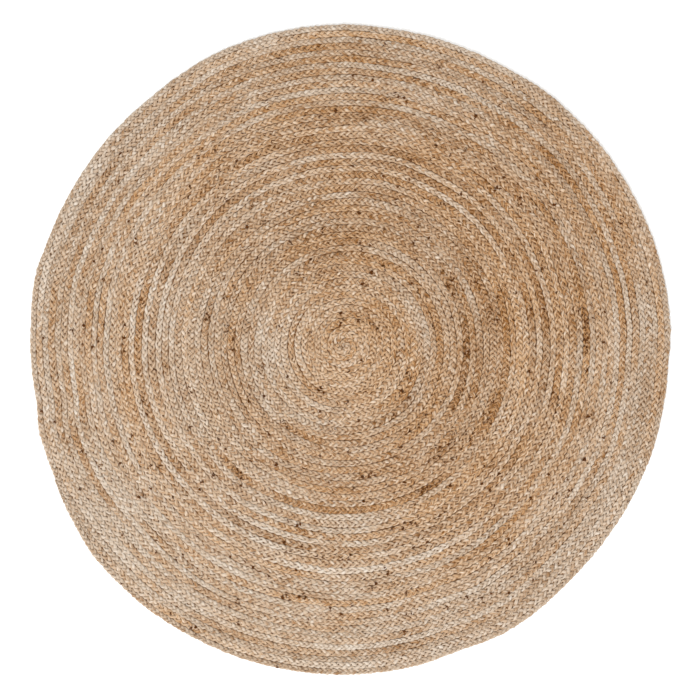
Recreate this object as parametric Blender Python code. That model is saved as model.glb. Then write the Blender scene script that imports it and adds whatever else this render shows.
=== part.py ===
"""A round rug of braided jute.

Two flat braids of three strands, a golden one and a paler one outside it, are wound together into a
double spiral from the middle and sewn edge to edge, so the rug is one solid. Its top shows every
turn of either braid as a raised row with a sunk seam on each side, its outline is as uneven as hand
sewing leaves it, and its underside is flat where it lies on the floor.

Metres, +Z up. The origin is under the middle of the rug's box, on the floor. A bearing is the angle
from +X towards +Y, and the braids run outward the other way round, clockwise seen from above.
"""

import math

import bmesh
import bpy

# The pair of braids
THICKNESS = 0.010  # from the floor to the highest part of a row
INNER_PAIR = 0.0309  # the width of the two braids together in the first turns
OUTER_PAIR = 0.0288  # their width in the last turns, which are sewn tighter
INNER_TURNS = 18.0  # how many turns have the inner width
START_TURN = 0.25  # the braids' first ends are tucked into the middle from here
END_TURN = 25.435  # the braids' last ends lie against the turn inside them
END_TAPER = 0.045  # the length of those ends' taper, in turns
MIDDLE_TUCK = 0.0042  # how much narrower the middle is than a spiral of full rows

# The raised and sunk lines of a pair, from its inner seam at 0 to its outer seam at 1 across
LINE_COLUMNS = ("across", "below_crown")
LINES = (
    (0.27, 0.0004),  # the golden braid's crown
    (0.54, 0.0027),  # the seam between the two braids
    (0.77, 0.0000),  # the paler braid's crown
    (1.00, 0.0027),  # the outer seam, which the next turn shares
)
MIDDLE_HEIGHT = 0.0067  # of the point that the first turn closes on

# The rug's edge
EDGE_HEIGHT = 0.0052  # where the edge is widest
EDGE_UNDERCUT = 0.0026  # how far the flat underside stays inside the edge

STEPS_PER_TURN = 56

# How far the last rows stand in or out of an even spiral, at bearings round the rug
WAVER_COLUMNS = ("bearing", "out")
WAVER = (
    (5, 0.0028),
    (22, 0.0036),
    (40, 0.0040),
    (50, 0.0023),
    (60, -0.0026),
    (80, -0.0026),
    (92, 0.0019),
    (110, 0.0009),
    (130, -0.0086),
    (150, -0.0081),
    (160, -0.0060),
    (167, 0.0000),
    (177, -0.0053),
    (190, -0.0074),
    (196, 0.0020),
    (205, 0.0048),
    (220, -0.0012),
    (235, 0.0016),
    (252, 0.0040),
    (270, 0.0033),
    (281, 0.0020),
    (290, -0.0030),
    (300, 0.0046),
    (316, -0.0035),
    (345, -0.0016),
    (356, -0.0026),
)
WAVER_STARTS = 0.46  # the radius inside which the rows run even
WAVER_FULL = 0.70  # the radius from which the table holds in full

# Sun-dried jute
JUTE_COLOUR = (0.52, 0.36, 0.225, 1.0)
JUTE_ROUGHNESS = 0.88


def smooth(x):
    """0 to 1 with a soft start and end."""
    x = min(1.0, max(0.0, x))
    return x * x * (3.0 - 2.0 * x)


def waver_at(bearing):
    """The table's value at a bearing, eased from one row of it to the next, all the way round."""
    rows = [dict(zip(WAVER_COLUMNS, row)) for row in WAVER]
    for this, following in zip(rows, rows[1:] + rows[:1]):
        span = (following["bearing"] - this["bearing"]) % 360.0
        along = (bearing - this["bearing"]) % 360.0
        if along < span:
            return this["out"] + (following["out"] - this["out"]) * smooth(along / span)
    return rows[0]["out"]


def spiral_radius(turn):
    """The radius of the even spiral that the pair's outer seam follows."""
    inner = min(turn, INNER_TURNS) * INNER_PAIR
    outer = max(turn - INNER_TURNS, 0.0) * OUTER_PAIR
    return max(0.0, inner + outer - MIDDLE_TUCK)


def place(turn, across):
    """X and Y across the pair at that turn, from 0 at its inner seam to 1 at its outer seam."""
    inner, outer = spiral_radius(turn - 1.0), spiral_radius(turn)
    if turn - 1.0 < START_TURN:
        inner = 0.0
    taper = min(1.0, (END_TURN - turn) / END_TAPER)
    even = inner + (outer - inner) * across * taper
    bearing = -360.0 * turn
    fade = smooth((even - WAVER_STARTS) / (WAVER_FULL - WAVER_STARTS))
    radius = even + fade * waver_at(bearing)
    angle = math.radians(bearing)
    return radius * math.cos(angle), radius * math.sin(angle)


def make_coil():
    """The closed mesh of the whole rug."""
    mesh = bmesh.new()
    first = round(START_TURN * STEPS_PER_TURN)
    last = round(END_TURN * STEPS_PER_TURN)
    edge_starts = last - STEPS_PER_TURN
    profile = [dict(zip(LINE_COLUMNS, line)) for line in LINES]

    middle = mesh.verts.new((0.0, 0.0, MIDDLE_HEIGHT))
    lines = {}
    for step in range(first, last):
        lines[step] = []
        for line in profile:
            height = THICKNESS - line["below_crown"]
            if line is profile[-1] and step >= edge_starts:
                height = EDGE_HEIGHT
            spot = place(step / STEPS_PER_TURN, line["across"])
            lines[step].append(mesh.verts.new((*spot, height)))

    def across(step):
        """The points across the pair at a step, from the seam that it shares with the turn inside."""
        within = lines.get(step - STEPS_PER_TURN)
        return [within[-1] if within else middle, *lines[step]]

    for step in range(first, last - 1):
        here, ahead = across(step), across(step + 1)
        for i in range(len(LINES)):
            corners = [here[i], ahead[i], ahead[i + 1], here[i + 1]]
            mesh.faces.new([c for n, c in enumerate(corners) if c not in corners[:n]])

    # The braids' first ends are the small step that the first turn closes on.
    inner_crown, between, outer_crown, seam = lines[first]
    mesh.faces.new((middle, inner_crown, between))
    mesh.faces.new((between, outer_crown, seam))
    mesh.faces.new((middle, between, seam))

    # The last ends run out to nothing on the turn inside them.
    tip = lines[edge_starts][-1]
    end = across(last - 1)
    for inner, outer in zip(end, end[1:]):
        mesh.faces.new((inner, tip, outer))

    # The edge turns under to the flat underside.
    edge = [lines[step][-1] for step in range(edge_starts, last)]
    under = []
    for point in edge:
        reach = math.hypot(point.co.x, point.co.y)
        inset = (reach - EDGE_UNDERCUT) / reach
        under.append(mesh.verts.new((point.co.x * inset, point.co.y * inset, 0.0)))
    for i, top in enumerate(edge):
        following = (i + 1) % len(edge)
        mesh.faces.new((top, edge[following], under[following], under[i]))
    mesh.faces.new(under)
    bmesh.ops.recalc_face_normals(mesh, faces=mesh.faces[:])

    # The origin goes under the middle of the box.
    xs = [v.co.x for v in mesh.verts]
    ys = [v.co.y for v in mesh.verts]
    box_middle = ((min(xs) + max(xs)) / 2.0, (min(ys) + max(ys)) / 2.0)
    bmesh.ops.translate(mesh, verts=mesh.verts[:], vec=(-box_middle[0], -box_middle[1], 0.0))
    return mesh


def jute():
    """Dull, dry plant fibre in its own golden brown."""
    material = bpy.data.materials.new("jute")
    material.use_nodes = True
    shader = material.node_tree.nodes["Principled BSDF"]
    shader.inputs["Base Color"].default_value = JUTE_COLOUR
    shader.inputs["Roughness"].default_value = JUTE_ROUGHNESS
    shader.inputs["Metallic"].default_value = 0.0
    return material


def main():
    for old in list(bpy.data.objects):
        bpy.data.objects.remove(old)
    shape = bpy.data.meshes.new("braided_coil")
    coil = make_coil()
    coil.to_mesh(shape)
    coil.free()
    shape.shade_smooth()
    shape.materials.append(jute())
    rug = bpy.data.objects.new("braided_coil", shape)
    bpy.context.scene.collection.objects.link(rug)


main()
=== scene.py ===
"""The looks of a round rug of braided jute.

Two flat braids of three strands, one golden and one paler, lie side by side in a double spiral.
Each strand is a tube that follows its own way over and under the other two, from the middle of the
rug to its edge, and rides in the same rows as the solid that it stands for.

Metres, +Z up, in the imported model's frame. A bearing is the angle from +X towards +Y. A turn counts
the rounds of the coil from its middle, and the braids run outward clockwise seen from above. A step
is half the length of braid from one lobe to the next in the same rank.
"""

import math

import bpy
import numpy as np
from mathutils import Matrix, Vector


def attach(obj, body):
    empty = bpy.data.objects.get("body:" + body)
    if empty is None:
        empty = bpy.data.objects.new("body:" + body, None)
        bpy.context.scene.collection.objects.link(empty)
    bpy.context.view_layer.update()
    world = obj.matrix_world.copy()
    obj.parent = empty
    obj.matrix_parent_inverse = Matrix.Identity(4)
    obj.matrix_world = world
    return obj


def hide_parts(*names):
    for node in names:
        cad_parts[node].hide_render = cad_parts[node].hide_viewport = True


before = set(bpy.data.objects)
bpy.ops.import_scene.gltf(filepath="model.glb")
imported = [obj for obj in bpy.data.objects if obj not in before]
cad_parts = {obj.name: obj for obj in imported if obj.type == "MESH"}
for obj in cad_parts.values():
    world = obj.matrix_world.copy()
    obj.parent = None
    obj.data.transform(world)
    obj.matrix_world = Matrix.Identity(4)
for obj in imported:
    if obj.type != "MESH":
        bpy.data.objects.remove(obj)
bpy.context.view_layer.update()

# The coil, as the solid has it
THICKNESS = 0.010
INNER_PAIR = 0.0309  # the width of the two braids together in the first turns
OUTER_PAIR = 0.0288  # their width in the last turns
INNER_TURNS = 18.0
START_TURN = 0.25
END_TURN = 25.435
END_TAPER = 0.045  # the turns over which the pair tapers off
MIDDLE_TUCK = 0.0042  # how far the whole spiral is pulled in, towards its tucked middle
SOLID_POINTS_PER_TURN = 56
MEET = 0.54  # where the inner braid and the outer one meet across the pair

# How far the last rows stand in or out of an even spiral, at bearings round the rug
WAVER = (
    (5, 0.0028),
    (22, 0.0036),
    (40, 0.0040),
    (50, 0.0023),
    (60, -0.0026),
    (80, -0.0026),
    (92, 0.0019),
    (110, 0.0009),
    (130, -0.0086),
    (150, -0.0081),
    (160, -0.0060),
    (167, 0.0000),
    (177, -0.0053),
    (190, -0.0074),
    (196, 0.0020),
    (205, 0.0048),
    (220, -0.0012),
    (235, 0.0016),
    (252, 0.0040),
    (270, 0.0033),
    (281, 0.0020),
    (290, -0.0030),
    (300, 0.0046),
    (316, -0.0035),
    (345, -0.0016),
    (356, -0.0026),
)
WAVER_STARTS = 0.46  # the radius where the rows begin to waver
WAVER_FULL = 0.70

# Where the sewn rows stray from the even spiral, in soft waves of these lengths
STRAY = 0.0011  # how far, along X and along Y, as a root mean square
STRAY_WAVES = 12
STRAY_LENGTHS = (0.10, 0.45)
STRAY_FADES = (0.66, 0.74)  # the radii between which the rows come to lie even, as on the rug's edge
STRAY_SEED = 7

# The two braids. "spacing" is the length of braid from one lobe to the next in the same rank, turn
# by turn, as it was pulled tighter or looser. "paleness" is the side of the two shades it takes.
BRAIDS = (
    {
        "name": "golden",
        "seed": 11,
        "inner": True,
        "ends": 25.414,
        "strand_width": 0.0086,
        "spacing": ((2, 0.0118), (13.5, 0.0122), (15, 0.0147), (25.5, 0.0148)),
        "paleness": -0.5,
    },
    {
        "name": "pale",
        "seed": 12,
        "inner": False,
        "ends": 25.432,
        "strand_width": 0.0078,
        "spacing": ((2, 0.0140), (12.5, 0.0144), (14, 0.0160), (20, 0.0150), (21.5, 0.0124)),
        "paleness": 0.5,
    },
)
STRAND_SEEDS = 10  # how far apart the seeds of the braids' strands are
SHADES_SEED = 100  # what is added to a braid's seed for its shades, and for its way
WAY_SEED = 200
STRANDS_START = START_TURN + 0.10
LEAST_END = 0.55  # a braid's end is never drawn finer than this share of its full breadth
LEAST_TAPER = 0.01  # what is left of the pair's width where the two braids' ends are measured
SHORTEST_STEP = 0.35  # the shortest step of a narrow braid, as a share of a full one
BRAID_SAMPLES = 60001  # the places where a braid's length is measured

# How much a braid's pull and breadth vary along it, and how far its edges lean up or down
PULL_VARIES = 0.05
PULL_LENGTH = 0.09
BREADTH_VARIES = 0.07
BREADTH_LENGTH = 0.16
BREADTH_LIMITS = (0.8, 1.15)
LEAN = 0.0004
LEAN_LENGTH = 0.22

# A strand, with its width in the table of the braids
STRANDS_IN_BRAID = 3
STRAND_HEIGHT = 0.0056
STRAND_AT_EDGE = 0.0048  # its width where it turns on the braid's edge
EDGE_ROOM = 0.0017  # how far inside the braid's edge it turns
NARROWEST_STRAND = 0.25  # its least width in a narrow braid, as a share of a full one
GIRTH = 2.7  # the way that its grain goes round it, in its own widths

# One crossing of the braid, from edge to edge in three steps: under at 1, over at 2. Each row is a
# ring of the tube: its step, and its width and height as shares of the strand's own.
RINGS = (
    (0.00, 0.0, 1.15),  # on the edge, where the strand stands on its side
    (0.85, 1.0, 0.96),
    (1.52, 0.84, 0.90),
    (2.00, 1.0, 1.0),
    (2.50, 0.92, 1.05),
)
CROSSING_STEPS = 3.0
LOBE_STEPS = 2.0  # from one lobe to the next in the same rank
TURN_SOFTNESS = 0.5  # how round the strand's way is at the braid's edge

# The tube's section, to its left side and up, with the rounder half on top
SECTION = ((1.0, 0.0), (0.58, 0.80), (-0.58, 0.80), (-1.0, 0.0), (0.0, -1.0))

# Hand plaiting is never even. How much one lobe differs from the next in fatness, height, place to
# the side and place along the braid, the last in steps
LOBE_FATNESS = 0.10
LOBE_LIFT = 0.00030
LOBE_ASIDE = 0.00040
LOBE_ONWARD = 0.15
RING_LIFT = 0.00012  # how much one ring of a lobe differs from the next
RING_ASIDE = 0.00020
SLUBS = 0.06  # how much the roving itself is thicker and thinner along its length
SLUB_LENGTH = 0.06
FATNESS_LIMITS = (0.7, 1.3)
LIFT_LIMITS = (-0.0009, 0.0007)

# How the jute's colour changes from the middle to the edge. Each row has a turn, how light and how
# grey the rows are there, and how much lighter and greyer the pale braid is than the golden one.
SHADES = (
    (2, 0.548, 0.46, -0.02, 0.0),
    (6, 0.550, 0.48, -0.01, 0.0),
    (8, 0.491, 0.48, 0.03, 0.0),
    (12, 0.490, 0.46, 0.04, 0.05),
    (13.5, 0.527, 0.47, 0.08, 0.05),
    (17, 0.530, 0.48, 0.10, 0.20),
    (20, 0.518, 0.62, 0.0, 0.4),
    (22.5, 0.510, 0.82, 0.02, 0.5),
    (25, 0.516, 0.86, -0.02, 0.5),
)

# What else makes the jute lighter or greyer, and by how much: painted light on the side of the rug that
# the light falls on, the lobe's own shade, lengths of the strand and of the braid, as pairs of a length
# and a change, soft patches over the rug, and the rough stretches of the braid
LIGHT_VARIES = {
    "painted_lit_side": 0.033,
    "lobe": 0.048,
    "strand": ((0.035, 0.023), (0.22, 0.030), (1.1, 0.020)),
    "braid": ((0.20, 0.019), (0.8, 0.027), (3.0, 0.020)),
    "patches": 0.010,
    "patch_size": 0.13,
    "patch_seed": 21,
    "rough": -0.020,
}
GREY_VARIES = {
    "painted_lit_side": 0.09,
    "lobe": 0.0,
    "strand": ((0.10, 0.12),),
    "braid": ((0.10, 0.13), (0.45, 0.15)),
    "patches": 0.09,
    "patch_size": 0.20,
    "patch_seed": 23,
    "rough": -0.09,
}
PAINTED_LIT_BEARING = 215.0  # the bearing towards which painted light makes the rug lighter and greyer
PAINTED_LIT_FROM = 0.12  # the radius from where on it shows in full
ROUGH_LENGTH = 0.07  # the length of the braid's rough stretches
PATCHES_REACH = 1.0  # how far the soft patches go on each side of the middle

# Painted shade: down in the hollows between the strands, which begin under HOLLOW_TOP, the jute is
# drawn darker and less grey, as it looks in the shade there.
HOLLOW_TOP = 0.0085
HOLLOW_DEPTH = 0.006
HOLLOW_PAINTED_SHADE = 0.045
HOLLOW_PAINTED_WARMTH = 0.35

# Bits of bark lie on the tops of some lobes, more of them on rough stretches.
BARK_CHANCE = 0.017
BARK_IN_ROUGH = 1.5
BARK_FADES = (20.5, 22.5)  # the turns where it gets scarcer
BARK_FADES_BY = 0.75
BARK_FROM_STEP = 1.6  # the step of a crossing where the strand comes to the top

# Wisps of a few fibres each that have worked loose and lie over the braids in low arcs
WISP_SEED = 31
LOOSE_WISPS = 6000
WISP_TURNS = (0.6, END_TURN - 0.1)
WISP_LENGTHS = (0.008, 0.030)
WISP_THICKNESS = 0.00022
WISP_ENDS_AT = 0.0084  # the height where they come out of the strands
WISP_RISES = (0.0008, 0.0026)
WISP_BEND = 0.7
WISP_ASLANT = 0.6  # how far they lie aslant to the row, in radians
WISP_RINGS = 4
WISP_SIDES = 3
WISP_LIGHT = 0.62
WISP_LIGHT_VARIES = 0.08
WISP_GREYS = (0.3, 0.9)

# How far apart the strands and the wisps lie in their grain, so that no two show the same fibres
STRAND_GRAIN_APART = 100.0
WISP_GRAIN_APART = (0.037, 0.0113)

# The free share on each side of a strand's row, or of a wisp's cell, in the map for baking
ROW_MARGIN = 0.04
CELL_MARGIN = 0.1

# The coil's body under the strands, a little lower and further in than they are: lines across the
# pair with their heights
BODY_LINES = ((0.27, 0.0046), (MEET, 0.0042), (0.77, 0.0046), (1.0, 0.0042))
BODY_START_HEIGHT = 0.0042
BODY_POINTS_PER_TURN = 64
BODY_INSET = 0.0022
BODY_BOTTOM = 0.0014

# The view: straight down, and as wide as the photo, whose pixels are this big on the rug
PHOTO_PIXELS = 700
PIXEL = 0.0023234
VIEW_MIDDLE = (0.0, -0.5 * PIXEL)
LENS = 85.0
SENSOR = 36.0
SEES_AS_FAR_AS = 100.0

# The studio, with its lamp low on the left in front
FLOOR_SIZE = 14.0
FLOOR_GAP = 0.0002
SKY_STRENGTH = 1.12
LAMP_AT = (-3.4, -7.2, 7.7)
LAMP_SIZE = 2.4
LAMP_WATTS = 740.0

MM = 0.001
TINY = 1e-9


def smooth(x):
    """0 to 1 with a soft start and end."""
    x = np.clip(x, 0.0, 1.0)
    return x * x * (3.0 - 2.0 * x)


def waver_at(bearing):
    """WAVER's value at a bearing, eased from one row to the next, all the way round."""
    bearings, outs = np.array(WAVER, float).T
    this = (np.searchsorted(bearings, bearing % 360.0, side="right") - 1) % len(bearings)
    following = (this + 1) % len(bearings)
    span = (bearings[following] - bearings[this]) % 360.0
    along = (bearing - bearings[this]) % 360.0
    return outs[this] + (outs[following] - outs[this]) * smooth(along / span)


def spiral_radius(turn):
    """The radius of the even spiral that the pair's outer seam follows."""
    inner = np.minimum(turn, INNER_TURNS) * INNER_PAIR
    outer = np.maximum(turn - INNER_TURNS, 0.0) * OUTER_PAIR
    return np.maximum(0.0, inner + outer - MIDDLE_TUCK)


def inner_radius(turn):
    """The radius of the seam that the pair shares with the turn inside it."""
    return np.where(turn - 1.0 < START_TURN, 0.0, spiral_radius(turn - 1.0))


def pair_width(turn):
    """The width of the two braids together."""
    taper = np.clip((END_TURN - turn) / END_TAPER, 0.0, 1.0)
    return (spiral_radius(turn) - inner_radius(turn)) * taper


def place(turn, across):
    """X and Y across the pair at that turn, round the coil's own middle."""
    even = inner_radius(turn) + pair_width(turn) * across
    bearing = -360.0 * turn
    fade = smooth((even - WAVER_STARTS) / (WAVER_FULL - WAVER_STARTS))
    radius = even + fade * waver_at(bearing)
    angle = np.radians(bearing)
    return radius * np.cos(angle), radius * np.sin(angle)


def coil_middle():
    """Where the coil's middle lies, so that the solid's box is round the origin."""
    last = round(END_TURN * SOLID_POINTS_PER_TURN)
    edge_turns = np.arange(last - SOLID_POINTS_PER_TURN, last) / SOLID_POINTS_PER_TURN
    x, y = place(edge_turns, 1.0)
    return -(x.min() + x.max()) / 2.0, -(y.min() + y.max()) / 2.0


MIDDLE_X, MIDDLE_Y = coil_middle()


def stray(x, y):
    """How far the hand-sewn rows stray at a place, less and less towards the edge."""
    chance = np.random.default_rng(STRAY_SEED)
    across, up = 0.0, 0.0
    for _ in range(STRAY_WAVES):
        wave = 2.0 * math.pi / chance.uniform(*STRAY_LENGTHS)
        heading, start, way = chance.uniform(0.0, 2.0 * math.pi, 3)
        swing = np.sin(wave * (x * math.cos(heading) + y * math.sin(heading)) + start)
        across = across + math.cos(way) * swing
        up = up + math.sin(way) * swing
    fades, gone = STRAY_FADES
    left_over = 1.0 - smooth((np.hypot(x, y) - fades) / (gone - fades))
    # The mean squares of a wave's swing and of its cosine or sine are both 1/2.
    size = STRAY * math.sqrt(4.0 / STRAY_WAVES) * left_over
    return across * size, up * size


def lay(turn, across):
    """X and Y in the frame of that place in the sewn rows."""
    x, y = place(turn, across)
    stray_x, stray_y = stray(x, y)
    return x + stray_x + MIDDLE_X, y + stray_y + MIDDLE_Y


def drift(along, spacing, chance):
    """Soft random rises and falls along a strand, about one in each spacing."""
    knots = chance.normal(size=int(np.max(along) / spacing) + 3)
    before = np.floor(along / spacing).astype(int)
    share = smooth(along / spacing - before)
    return knots[before] * (1.0 - share) + knots[before + 1] * share


def patches(x, y, size, seed):
    """Soft random patches over the rug, each about that size across."""
    cells = int(2.0 * PATCHES_REACH / size) + 3
    knots = np.random.default_rng(seed).normal(size=(cells, cells))
    column, row = (x + PATCHES_REACH) / size, (y + PATCHES_REACH) / size
    i, j = np.floor(column).astype(int), np.floor(row).astype(int)
    across, up = smooth(column - i), smooth(row - j)
    near = knots[i, j] * (1.0 - across) + knots[i + 1, j] * across
    far = knots[i, j + 1] * (1.0 - across) + knots[i + 1, j + 1] * across
    return near * (1.0 - up) + far * up


def braid_edges(braid, turn):
    """Where a braid's edges lie across the pair. Where the pair tapers off, the inner braid does so
    first and the outer one keeps its breadth for longer."""
    taper = np.clip((END_TURN - turn) / END_TAPER, LEAST_TAPER, 1.0)
    meet = np.maximum(taper - (1.0 - MEET), 0.0) / taper
    return (np.zeros_like(meet), meet) if braid["inner"] else (meet, np.ones_like(meet))


def breadth_share(braid, turn):
    """A braid's breadth at a turn as a share of its full one in the last turns, where its end is
    never drawn finer than LEAST_END of that."""
    low, high = braid_edges(braid, turn)
    full = MEET if braid["inner"] else 1.0 - MEET
    share = (high - low) * pair_width(turn) / (full * OUTER_PAIR)
    return np.where(turn > INNER_TURNS, np.maximum(share, LEAST_END), share)


def braid_steps(braid):
    """The turn and the length that each step of a braid has come to, with the braid pulled tighter
    here and looser there."""
    turns = np.linspace(STRANDS_START, braid["ends"], BRAID_SAMPLES)
    low, high = braid_edges(braid, turns)
    x, y = place(turns, (low + high) / 2.0)
    lengths = np.concatenate([[0.0], np.cumsum(np.hypot(np.diff(x), np.diff(y)))])
    spacing_turns, spacings = zip(*braid["spacing"])
    spacing = np.interp(turns, spacing_turns, spacings)
    narrow = np.clip(breadth_share(braid, turns), SHORTEST_STEP, 1.0)
    pull = 1.0 + PULL_VARIES * drift(lengths, PULL_LENGTH, np.random.default_rng(braid["seed"]))
    step_length = spacing / LOBE_STEPS * narrow * pull
    steps = np.concatenate([[0.0], np.cumsum(np.diff(lengths) / step_length[1:])])
    return turns, lengths, steps


def strand_rings(number, steps):
    """Where each ring of a strand lies along its braid, in steps: its crossing, the step in that, and
    the step of the braid."""
    begin = LOBE_STEPS * number
    crossings = np.arange(int((steps[-1] - begin) / CROSSING_STEPS))
    crossing = np.repeat(crossings, len(RINGS))
    step = np.tile([ring[0] for ring in RINGS], len(crossings))
    return crossing, step, begin + CROSSING_STEPS * crossing + step


def strand_way(braid, crossing, step, turn, length):
    """Across the pair and height, from -1 under to 1 over, as the strand passes the other two, and how
    far up it is on the side of the braid that leans up."""
    from_edge = np.minimum(step, CROSSING_STEPS - step)
    reach = math.hypot(CROSSING_STEPS / 2.0, TURN_SOFTNESS)
    off_middle = (reach - np.hypot(from_edge, TURN_SOFTNESS)) / (reach - TURN_SOFTNESS)
    outward = np.where(crossing % 2 == 0, 1.0, -1.0)
    side = np.where(step < CROSSING_STEPS / 2.0, -outward, outward)

    low, high = braid_edges(braid, turn)
    width = pair_width(turn)
    edge_room = EDGE_ROOM * np.minimum(1.0, breadth_share(braid, turn))
    uneven = np.random.default_rng(braid["seed"] + WAY_SEED)
    breadth = 1.0 + BREADTH_VARIES * drift(length, BREADTH_LENGTH, uneven)
    half_way = ((high - low) * width / 2.0 - edge_room) * np.clip(breadth, *BREADTH_LIMITS)
    across = (low + high) / 2.0 + side * off_middle * half_way / np.maximum(width, MM)
    lean = LEAN * side * off_middle * drift(length, LEAN_LENGTH, uneven)

    going_under = -np.sin(math.pi / 2.0 * step)
    rising = -np.cos(math.pi * (step - 1.0))
    on_top = np.cos(math.pi / 2.0 * (step - 2.0))
    over = np.where(step < 1.0, going_under, np.where(step < 2.0, rising, on_top))
    return across, over, lean


def strand_points(x, y, height, half_width, half_height, aside):
    """The points round a strand at each ring, none of them under the floor."""
    towards = np.stack([np.gradient(x), np.gradient(y)], axis=-1)
    towards /= np.maximum(np.linalg.norm(towards, axis=1, keepdims=True), TINY)
    left_x, left_y = -towards[:, 1:], towards[:, :1]
    to_left, up = np.array(SECTION).T
    sideways = half_width[:, None] * to_left + aside[:, None]
    return np.stack(
        [
            x[:, None] + left_x * sideways,
            y[:, None] + left_y * sideways,
            np.maximum(height[:, None] + half_height[:, None] * up, 0.0),
        ],
        axis=-1,
    )


def strand_shades(braid, turn, length, along, x, y, lighter, chance):
    """How light, how grey and how full of bark the jute is at each ring of a strand: by its braid and
    its distance from the middle, in patches over the rug, in lengths of the braid and of the strand,
    and lobe by lobe, with painted light that makes one side of the rug lighter and greyer."""
    of_braid = np.random.default_rng(braid["seed"] + SHADES_SEED)
    turns, *columns = np.array(SHADES).T
    row_light, row_grey, pale_lighter, pale_greyer = [np.interp(turn, turns, c) for c in columns]
    bearing = np.arctan2(y - MIDDLE_Y, x - MIDDLE_X)
    radius = np.hypot(x - MIDDLE_X, y - MIDDLE_Y)
    # Painted light: the rug is drawn lighter and greyer towards one side, as if lit more there.
    painted_lit_side = np.cos(bearing - math.radians(PAINTED_LIT_BEARING)) * smooth(radius / PAINTED_LIT_FROM)
    rough = drift(length, ROUGH_LENGTH, of_braid)

    def changes(varies):
        """All that makes the jute lighter or greyer at each ring, by LIGHT_VARIES or GREY_VARIES."""
        return (
            varies["painted_lit_side"] * painted_lit_side
            + varies["lobe"] * lighter
            + sum(change * drift(along, spacing, chance) for spacing, change in varies["strand"])
            + sum(change * drift(length, spacing, of_braid) for spacing, change in varies["braid"])
            + varies["patches"] * patches(x, y, varies["patch_size"], varies["patch_seed"])
            + varies["rough"] * rough
        )

    light = row_light + braid["paleness"] * pale_lighter + changes(LIGHT_VARIES)
    grey = row_grey + braid["paleness"] * pale_greyer + changes(GREY_VARIES)

    fades, faded = BARK_FADES
    scarcer = 1.0 - BARK_FADES_BY * smooth((turn - fades) / (faded - fades))
    lobe_chance = (BARK_CHANCE * scarcer * np.exp(BARK_IN_ROUGH * rough))[:: len(RINGS)]
    chosen = chance.random(len(lobe_chance)) < lobe_chance
    on_top = np.tile([ring[0] > BARK_FROM_STEP for ring in RINGS], len(chosen))
    bark = np.repeat(chosen, len(RINGS)) & on_top
    return light, grey, bark.astype(float)


def tube_faces(rings, sides):
    """The quads between the rings of a tube and its two end caps."""
    ring = np.arange(rings - 1)[:, None] * sides
    side = np.arange(sides)[None, :]
    following = (side + 1) % sides
    quads = np.stack(
        [ring + side, ring + following, ring + sides + following, ring + sides + side], axis=-1
    ).reshape(-1, 4)
    first_cap = list(range(sides))[::-1]
    last_cap = list(range((rings - 1) * sides, rings * sides))
    return quads.tolist() + [first_cap, last_cap]


def make_piece(name, points, faces, material):
    """A piece of that name from its points and faces, in that material."""
    mesh = bpy.data.meshes.new(name)
    mesh.from_pydata(points, [], faces)
    mesh.shade_smooth()
    mesh.materials.append(material)
    piece = bpy.data.objects.new(name, mesh)
    bpy.context.scene.collection.objects.link(piece)
    return piece


def keep_map(piece, name, corners):
    """A map with a place for each corner of the piece's faces, in their order. What it leaves out,
    such as the end caps of a tube, lies at zero."""
    places = np.zeros((len(piece.data.loops), 2), np.float32)
    places[: len(corners)] = corners
    piece.data.uv_layers.new(name=name).uv.foreach_set("vector", places.ravel())


def keep_values(piece, **values):
    """Values for each point of a piece, which the material reads by name."""
    for name, value in values.items():
        attribute = piece.data.attributes.new(name, "FLOAT", "POINT")
        attribute.data.foreach_set("value", np.asarray(value, np.float32))


def map_strand(strand, along, girth, offset):
    """Two maps on a strand: "fibre" is metres along and round it, which its grain follows, and
    "OFBake" folds it, unrolled, into rows that fill a square."""
    sides = len(SECTION)
    ring = np.repeat(np.arange(len(along) - 1), sides)[:, None]
    side = np.tile(np.arange(sides), len(along) - 1)[:, None]
    corner_ring = np.array([0, 0, 1, 1])
    corner_side = np.array([0, 1, 1, 0])

    on_strand = along[ring + corner_ring] + offset
    round_it = (side + corner_side) * (girth / sides)
    keep_map(strand, "fibre", np.stack([on_strand.ravel(), round_it.ravel()], axis=-1))

    rows = max(1, round(math.sqrt((along[-1] - along[0]) / girth)))
    in_row = math.ceil((len(along) - 1) / rows)
    row = ring // in_row
    u = (ring % in_row + corner_ring) / in_row
    v = (row + ROW_MARGIN + (1.0 - 2.0 * ROW_MARGIN) * (side + corner_side) / sides) / rows
    keep_map(strand, "OFBake", np.stack([u.ravel(), v.ravel()], axis=-1))


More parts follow.
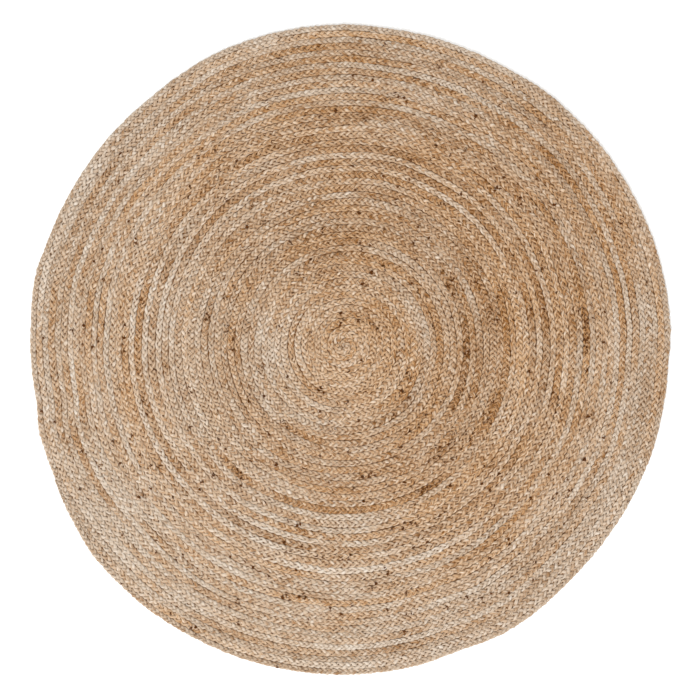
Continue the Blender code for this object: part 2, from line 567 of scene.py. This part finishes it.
def make_strand(braid, number, material):
    """One strand of a braid, from the middle of the rug to its edge."""
    chance = np.random.default_rng(STRAND_SEEDS * braid["seed"] + number)
    turns, lengths, steps = braid_steps(braid)
    crossing, step, braid_step = strand_rings(number, steps)
    length = np.interp(braid_step, steps, lengths)
    even_turn = np.interp(braid_step, steps, turns)
    across, over, lean = strand_way(braid, crossing, step, even_turn, length)
    rings, crossings = len(step), crossing[-1] + 1

    fatter, higher, further_out, lighter, onward = chance.normal(size=(crossings, 5))[crossing].T
    turn = np.interp(braid_step + LOBE_ONWARD * onward, steps, turns)
    narrow = np.clip(breadth_share(braid, turn), NARROWEST_STRAND, 1.0)
    slubs = SLUBS * drift(length, SLUB_LENGTH, chance)
    fatness = np.clip(1.0 + LOBE_FATNESS * fatter + slubs, *FATNESS_LIMITS)
    lift = np.clip(LOBE_LIFT * higher + RING_LIFT * chance.normal(size=rings), *LIFT_LIMITS)
    aside = (LOBE_ASIDE * further_out + RING_ASIDE * chance.normal(size=rings)) * narrow

    _, ring_width, ring_height = np.tile(np.array(RINGS).T, crossings)
    width = np.where(ring_width > 0, ring_width * braid["strand_width"], STRAND_AT_EDGE)
    half_width = width / 2.0 * fatness * narrow
    half_height = STRAND_HEIGHT / 2.0 * ring_height * np.sqrt(fatness)
    x, y = lay(turn, across)
    height = THICKNESS / 2.0 + over * (THICKNESS - STRAND_HEIGHT) / 2.0 + lift + lean
    points = strand_points(x, y, height, half_width, half_height, aside)

    name = f"{braid['name']}_strand_{number + 1}"
    faces = tube_faces(rings, len(SECTION))
    strand = make_piece(name, points.reshape(-1, 3).tolist(), faces, material)

    leaps = np.sqrt(np.diff(x) ** 2 + np.diff(y) ** 2 + np.diff(height) ** 2)
    along = np.concatenate([[0.0], np.cumsum(leaps)])
    offset = STRAND_GRAIN_APART * (number + braid["seed"])
    map_strand(strand, along, GIRTH * braid["strand_width"], offset)

    light, grey, bark = strand_shades(braid, turn, length, along, x, y, lighter, chance)
    # Painted shade: darker and less grey the deeper a point lies in the hollows.
    hollow = np.clip((HOLLOW_TOP - points[..., 2]) / HOLLOW_DEPTH, 0.0, 1.0)
    keep_values(
        strand,
        light=(light[:, None] - HOLLOW_PAINTED_SHADE * hollow).ravel(),
        grey=np.clip(grey[:, None] - HOLLOW_PAINTED_WARMTH * hollow, 0.0, 1.0).ravel(),
        bark=np.repeat(bark, len(SECTION)),
    )
    return strand


def make_wisps(material):
    """All the loose wisps as one mesh of thin closed tubes."""
    chance = np.random.default_rng(WISP_SEED)
    first, last = WISP_TURNS
    turn = first + (last - first) * np.sqrt(chance.random(LOOSE_WISPS))
    x, y = lay(turn, chance.random(LOOSE_WISPS))
    heading = np.radians(-360.0 * turn - 90.0) + WISP_ASLANT * chance.normal(size=LOOSE_WISPS)
    length = chance.uniform(*WISP_LENGTHS, LOOSE_WISPS)
    bend = WISP_BEND * chance.normal(size=LOOSE_WISPS)
    rise = chance.uniform(*WISP_RISES, LOOSE_WISPS)

    # From here on the values go by wisp, by ring and by side.
    x, y, heading, length, bend, rise = [v[:, None, None] for v in (x, y, heading, length, bend, rise)]
    share = np.linspace(-0.5, 0.5, WISP_RINGS)[None, :, None]
    corner = math.tau * np.arange(WISP_SIDES)[None, None, :] / WISP_SIDES
    forward = share * length
    sideways = bend * share**2 * length + WISP_THICKNESS / 2.0 * np.cos(corner)
    up = WISP_ENDS_AT + rise * (1.0 - 4.0 * share**2) + WISP_THICKNESS / 2.0 * np.sin(corner)
    points = np.stack(
        [
            x + forward * np.cos(heading) - sideways * np.sin(heading),
            y + forward * np.sin(heading) + sideways * np.cos(heading),
            up,
        ],
        axis=-1,
    )
    tube = tube_faces(WISP_RINGS, WISP_SIDES)
    per_wisp = WISP_RINGS * WISP_SIDES
    faces = [[c + wisp * per_wisp for c in face] for wisp in range(LOOSE_WISPS) for face in tube]
    wisps = make_piece("loose_wisps", points.reshape(-1, 3).tolist(), faces, material)

    # In the map for baking, each wisp has a cell of its own in a square.
    cells = math.ceil(math.sqrt(LOOSE_WISPS))
    corners = np.array([c for face in tube for c in face])
    along, round_it = corners // WISP_SIDES / (WISP_RINGS - 1), corners % WISP_SIDES / WISP_SIDES
    wisp = np.arange(LOOSE_WISPS)[:, None]
    apart_along, apart_round = WISP_GRAIN_APART
    on_wisp = wisp * apart_along + along * length[:, :, 0]
    round_wisp = wisp * apart_round + np.zeros_like(on_wisp)
    keep_map(wisps, "fibre", np.stack([on_wisp, round_wisp], axis=-1).reshape(-1, 2))
    in_cell = CELL_MARGIN + (1.0 - 2.0 * CELL_MARGIN) * np.stack([along, round_it], axis=-1)
    cell = np.stack([wisp % cells, wisp // cells], axis=-1)
    keep_map(wisps, "OFBake", ((cell + in_cell) / cells).reshape(-1, 2))

    light = chance.normal(WISP_LIGHT, WISP_LIGHT_VARIES, LOOSE_WISPS)
    grey = chance.uniform(*WISP_GREYS, LOOSE_WISPS)
    keep_values(
        wisps,
        light=np.repeat(light, per_wisp),
        grey=np.repeat(grey, per_wisp),
        bark=np.zeros(LOOSE_WISPS * per_wisp),
    )
    return wisps


def make_body(material):
    """The rug's rows as one thin closed body, which fills the strands' hollows."""
    first = round(START_TURN * BODY_POINTS_PER_TURN)
    last = round(END_TURN * BODY_POINTS_PER_TURN)
    edge_begins = last - BODY_POINTS_PER_TURN
    line_count = len(BODY_LINES)
    points = [(*lay(np.float64(START_TURN), 0.0), BODY_START_HEIGHT)]
    for n in range(first, last):
        for across, height in BODY_LINES:
            x, y = lay(np.float64(n / BODY_POINTS_PER_TURN), across)
            on_edge = across == 1.0 and n >= edge_begins
            inset = 1.0 - BODY_INSET / math.hypot(x, y) if on_edge else 1.0
            points.append((x * inset, y * inset, height))

    def line(n):
        """The points across the pair, from the seam that it shares with the turn inside."""
        start = 1 + (n - first) * line_count
        within = start - 1 - (BODY_POINTS_PER_TURN - 1) * line_count
        return [max(within, 0), *range(start, start + line_count)]

    faces = []
    for n in range(first, last - 1):
        here, ahead = line(n), line(n + 1)
        for i in range(line_count):
            corners = [here[i], ahead[i], ahead[i + 1], here[i + 1]]
            faces.append(list(dict.fromkeys(corners)))  # a triangle where two corners are the same

    # The small step where the coil starts, and the step where it ends against the turn inside
    start = line(first)
    faces.append([start[0], start[1], start[2]])
    faces.append([start[2], start[3], start[4]])
    faces.append([start[0], start[2], start[4]])
    tip = line(edge_begins)[-1]
    end = line(last - 1)
    faces.extend([inner, tip, outer] for inner, outer in zip(end, end[1:]))

    # The rim and the underside
    edge = [line(n)[-1] for n in range(edge_begins, last)]
    under = list(range(len(points), len(points) + len(edge)))
    points.extend((points[e][0], points[e][1], BODY_BOTTOM) for e in edge)
    for i in range(len(edge)):
        following = (i + 1) % len(edge)
        faces.append([edge[i], edge[following], under[following], under[i]])
    faces.append(under)
    return make_piece("coil_body", points, faces, material)


def colour(code):
    """An sRGB hex colour as the linear one that the materials take."""
    levels = [int(code[i : i + 2], 16) / 255.0 for i in (1, 3, 5)]
    linear = [v / 12.92 if v <= 0.04045 else ((v + 0.055) / 1.055) ** 2.4 for v in levels]
    return (*linear, 1.0)


def add(material, kind, inputs=None, stops=None, **settings):
    """One node with its settings, its inputs, each a value or another node's output, and the colour
    stops of a ramp."""
    tree = material.node_tree
    node = tree.nodes.new(kind)
    for name, value in settings.items():
        setattr(node, name, value)
    for name, value in (inputs or {}).items():
        if isinstance(value, bpy.types.NodeSocket):
            tree.links.new(value, node.inputs[name])
        else:
            node.inputs[name].default_value = value
    if stops:
        ramp = node.color_ramp
        while len(ramp.elements) < len(stops):
            ramp.elements.new(1.0)
        for element, (position, code) in zip(ramp.elements, stops):
            element.position = position
            element.color = colour(code)
    return node


def mixed_colour(node):
    """The colour that comes out of a mixing node."""
    return next(output for output in node.outputs if output.type == "RGBA")


def new_material(name, **values):
    """A material of that name and its shader, with the values that are the same all over it."""
    material = bpy.data.materials.new(name)
    material.use_nodes = True
    shader = material.node_tree.nodes["Principled BSDF"]
    for socket, value in values.items():
        shader.inputs[socket.replace("_", " ")].default_value = value
    return material, shader


def jute_roving():
    """Jute roving, dried in the sun and plaited by hand: dull long fibres with hardly any gloss,
    golden where the stalk was ripe and greyer where it was bleached, with dark bits of bark."""
    material, shader = new_material("jute_roving", IOR=1.53, Specular_IOR_Level=0.1)
    links = material.node_tree.links
    fibre = add(material, "ShaderNodeUVMap", uv_map="fibre").outputs["UV"]

    def grain(length, width, **values):
        """Random marks that long and wide, along the fibres."""
        stretched = add(
            material,
            "ShaderNodeVectorMath",
            {0: fibre, 1: (1.0 / length, 1.0 / width, 0.0)},
            operation="MULTIPLY",
        )
        inputs = {"Vector": stretched.outputs[0], "Scale": 1.0, **values}
        return add(material, "ShaderNodeTexNoise", inputs).outputs["Fac"]

    # Jute fibres are 0.02 to 0.1 mm thick, too fine to show, so they are drawn as locks 1 mm wide.
    # Each strand is 2 or 3 flat rovings folded together, which show as furrows about 4 mm apart.
    locks = grain(0.014, 0.0010, Detail=4.0, Roughness=0.65)
    furrows = grain(0.016, 0.0022, Detail=1.0)
    bits = grain(0.014, 0.0060, Detail=1.0)

    light = add(material, "ShaderNodeAttribute", attribute_name="light").outputs["Fac"]
    grey = add(material, "ShaderNodeAttribute", attribute_name="grey").outputs["Fac"]
    streaks = add(material, "ShaderNodeMath", {0: locks, 1: 0.5, 2: -0.25}, operation="MULTIPLY_ADD")
    folds = add(material, "ShaderNodeMath", {0: furrows, 1: 1.2, 2: -0.6}, operation="MULTIPLY_ADD")
    marks = add(material, "ShaderNodeMath", {0: streaks.outputs[0], 1: folds.outputs[0]})
    # The marks fade where the jute is bleached.
    contrast = add(material, "ShaderNodeMapRange", {"Value": grey, "To Min": 1.2, "To Max": 0.65})
    shade = add(
        material,
        "ShaderNodeMath",
        {0: marks.outputs[0], 1: contrast.outputs[0], 2: light},
        operation="MULTIPLY_ADD",
        use_clamp=True,
    )
    ripe = add(
        material,
        "ShaderNodeValToRGB",
        {"Fac": shade.outputs[0]},
        stops=((0.0, "#4a2500"), (0.25, "#895b2d"), (0.5, "#b18c65"), (0.75, "#c5ab90"), (1.0, "#d6c7b3")),
    )
    bleached = add(
        material,
        "ShaderNodeValToRGB",
        {"Fac": shade.outputs[0]},
        stops=((0.0, "#57310c"), (0.25, "#8f6d4b"), (0.5, "#b5a18c"), (0.75, "#c9bcad"), (1.0, "#dad4cb")),
    )
    dried = add(
        material,
        "ShaderNodeMix",
        {"Factor": grey, "A": ripe.outputs["Color"], "B": bleached.outputs["Color"]},
        data_type="RGBA",
    )

    # Bits of bark are 2 to 5 mm wide and 5 to 15 mm long, and frayed along the fibres.
    bark = add(material, "ShaderNodeAttribute", attribute_name="bark").outputs["Fac"]
    on_bark = add(material, "ShaderNodeMath", {0: bark, 1: 0.28, 2: bits}, operation="MULTIPLY_ADD")
    frayed = add(
        material,
        "ShaderNodeMath",
        {0: locks, 1: -0.35, 2: on_bark.outputs[0]},
        operation="MULTIPLY_ADD",
    )
    bark_shows = add(
        material,
        "ShaderNodeMapRange",
        {"Value": frayed.outputs[0], "From Min": 0.54, "From Max": 0.62},
    )
    bark_brown = add(
        material,
        "ShaderNodeValToRGB",
        {"Fac": locks},
        stops=((0.35, "#2e1403"), (0.6, "#5c3410")),
    )
    finished = add(
        material,
        "ShaderNodeMix",
        {"Factor": bark_shows.outputs[0], "A": mixed_colour(dried), "B": bark_brown.outputs["Color"]},
        data_type="RGBA",
    )
    links.new(mixed_colour(finished), shader.inputs["Base Color"])

    dryness = add(material, "ShaderNodeMapRange", {"Value": locks, "To Min": 0.95, "To Max": 0.78})
    links.new(dryness.outputs[0], shader.inputs["Roughness"])
    relief = add(material, "ShaderNodeMath", {0: locks, 1: 0.4, 2: furrows}, operation="MULTIPLY_ADD")
    bump = add(
        material,
        "ShaderNodeBump",
        {"Height": relief.outputs[0], "Strength": 0.72, "Distance": 0.0017},
    )
    links.new(bump.outputs["Normal"], shader.inputs["Normal"])
    return material


def shaded_jute():
    """The same jute deep between the strands, coloured dark brown as painted shade."""
    material, shader = new_material("shaded_jute", IOR=1.53, Specular_IOR_Level=0.1)
    links = material.node_tree.links
    where = add(material, "ShaderNodeTexCoord").outputs["Object"]
    # Broken fibre in the hollows, in clumps of about 3 mm
    inputs = {"Vector": where, "Scale": 1.0 / 0.003, "Detail": 2.0}
    clumps = add(material, "ShaderNodeTexNoise", inputs).outputs["Fac"]
    # Painted shade: the brown is dark for the shade down between the strands.
    brown = add(
        material,
        "ShaderNodeValToRGB",
        {"Fac": clumps},
        stops=((0.3, "#57350f"), (0.7, "#875a30")),
    )
    links.new(brown.outputs["Color"], shader.inputs["Base Color"])
    dryness = add(material, "ShaderNodeMapRange", {"Value": clumps, "To Min": 0.98, "To Max": 0.85})
    links.new(dryness.outputs[0], shader.inputs["Roughness"])
    relief = add(material, "ShaderNodeBump", {"Height": clumps, "Strength": 0.5, "Distance": 0.001})
    links.new(relief.outputs["Normal"], shader.inputs["Normal"])
    return material


def floor_paint():
    """Matt white floor paint, rolled on: plain and pale, with the roller's faint stipple."""
    material, shader = new_material("floor_paint", Roughness=0.7)
    stipple = add(material, "ShaderNodeTexNoise", {"Scale": 1.0 / 0.004})
    white = add(
        material,
        "ShaderNodeValToRGB",
        {"Fac": stipple.outputs["Fac"]},
        stops=((0.0, "#f6f6f5"), (1.0, "#fafaf9")),
    )
    material.node_tree.links.new(white.outputs["Color"], shader.inputs["Base Color"])
    return material


def make_floor():
    """A plain pale floor just under the rug."""
    half = FLOOR_SIZE / 2.0
    corners = [(-half, -half), (half, -half), (half, half), (-half, half)]
    points = [(x, y, -FLOOR_GAP) for x, y in corners]
    floor = make_piece("studio_floor", points, [(0, 1, 2, 3)], floor_paint())


def make_camera():
    """A camera straight above the rug with the photo's frame, its top towards +Y."""
    camera_data = bpy.data.cameras.new("camera")
    camera_data.lens = LENS
    camera_data.sensor_width = SENSOR
    camera_data.clip_end = SEES_AS_FAR_AS
    camera = bpy.data.objects.new("camera", camera_data)
    distance = PHOTO_PIXELS * PIXEL * LENS / SENSOR
    camera.location = (*VIEW_MIDDLE, THICKNESS + distance)
    bpy.context.scene.collection.objects.link(camera)
    bpy.context.scene.camera = camera


def make_lights():
    """A soft white sky, and one broad lamp that faces the rug."""
    scene = bpy.context.scene
    scene.view_settings.view_transform = "Standard"
    world = bpy.data.worlds.new("studio_sky")
    world.use_nodes = True
    background = world.node_tree.nodes["Background"]
    background.inputs["Color"].default_value = (1.0, 1.0, 1.0, 1.0)
    background.inputs["Strength"].default_value = SKY_STRENGTH
    scene.world = world

    lamp_data = bpy.data.lights.new("lamp", "AREA")
    lamp_data.shape = "DISK"
    lamp_data.size = LAMP_SIZE
    lamp_data.energy = LAMP_WATTS
    lamp = bpy.data.objects.new("lamp", lamp_data)
    lamp.location = LAMP_AT
    lamp.rotation_euler = (-Vector(LAMP_AT)).to_track_quat("-Z", "Y").to_euler()
    scene.collection.objects.link(lamp)


def main():
    """The view, the light and the floor, and on it the rug."""
    make_camera()
    make_lights()
    make_floor()

    roving = jute_roving()
    strands = [
        make_strand(braid, number, roving) for braid in BRAIDS for number in range(STRANDS_IN_BRAID)
    ]
    wisps = make_wisps(roving)
    body = make_body(shaded_jute())
    for piece in (*strands, wisps, body):
        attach(piece, "root")
    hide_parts("braided_coil")


main()
